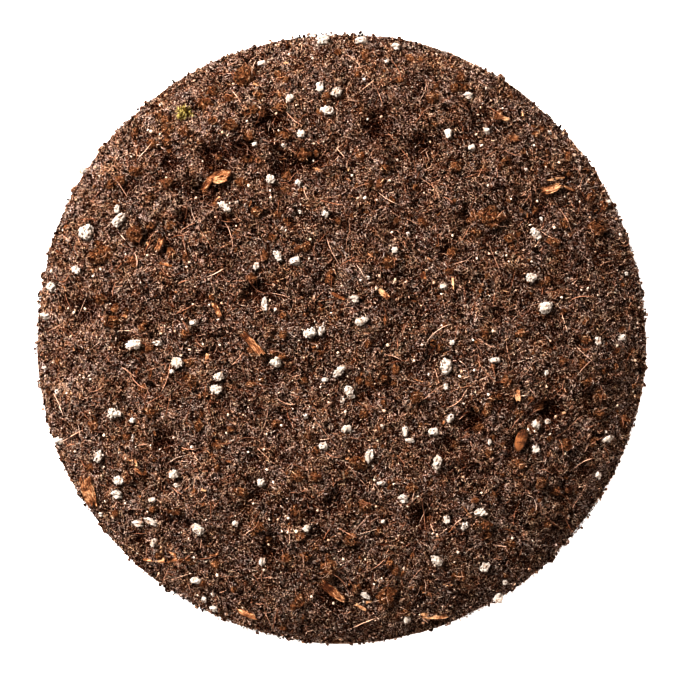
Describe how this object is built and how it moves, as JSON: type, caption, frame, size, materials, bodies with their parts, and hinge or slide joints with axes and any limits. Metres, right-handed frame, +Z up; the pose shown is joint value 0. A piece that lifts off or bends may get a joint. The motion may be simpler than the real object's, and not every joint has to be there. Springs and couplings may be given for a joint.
{
  "type": "potting compost spread",
  "caption": "Round shallow spread of fibrous potting compost on a flat base, with perlite granules, bark, wood chips, roots and moss bedded in its top.",
  "frame": {"origin": "middle of the flat underside", "axes": "+Z up, out of the top of the spread; +X to the right and +Y away from a viewer who looks down on it"},
  "size_m": [0.1857, 0.1863, 0.0197],
  "materials": {
    "peat": "matte, damp and fibrous",
    "perlite": "matte, pitted, chalky",
    "bark": "matte, flaky",
    "husk": "smooth, slight sheen",
    "wood": "matte, split along the grain",
    "root": "matte, wrinkled",
    "moss": "matte, tufted"
  },
  "bodies": {
    "root": {"compost_bed": "peat", "perlite_01": "perlite", "perlite_02": "perlite", "perlite_03": "perlite", "perlite_04": "perlite", "perlite_05": "perlite", "perlite_06": "perlite", "perlite_07": "perlite", "perlite_08": "perlite", "perlite_09": "perlite", "perlite_10": "perlite", "perlite_11": "perlite", "perlite_12": "perlite", "perlite_13": "perlite", "perlite_14": "perlite", "perlite_15": "perlite", "perlite_16": "perlite", "perlite_17": "perlite", "perlite_18": "perlite", "perlite_19": "perlite", "perlite_20": "perlite", "perlite_21": "perlite", "perlite_22": "perlite", "perlite_23": "perlite", "perlite_24": "perlite", "perlite_25": "perlite", "perlite_26": "perlite", "perlite_27": "perlite", "perlite_28": "perlite", "perlite_29": "perlite", "perlite_30": "perlite", "perlite_31": "perlite", "perlite_32": "perlite", "bark_01": "bark", "bark_02": "bark", "bark_03": "bark", "bark_04": "bark", "bark_05": "bark", "bark_06": "bark", "bark_07": "bark", "bark_08": "bark", "bark_09": "bark", "wood_chip_01": "wood", "wood_chip_02": "wood", "wood_chip_03": "wood", "wood_chip_04": "wood", "wood_chip_05": "wood", "wood_chip_06": "wood", "wood_chip_07": "wood", "wood_chip_08": "wood", "root_01": "root", "root_02": "root", "root_03": "root", "root_04": "root", "root_05": "root", "root_06": "root", "root_07": "root", "root_08": "root", "seed_husk": "husk", "moss_tuft": "moss"}
  },
  "joints": []
}
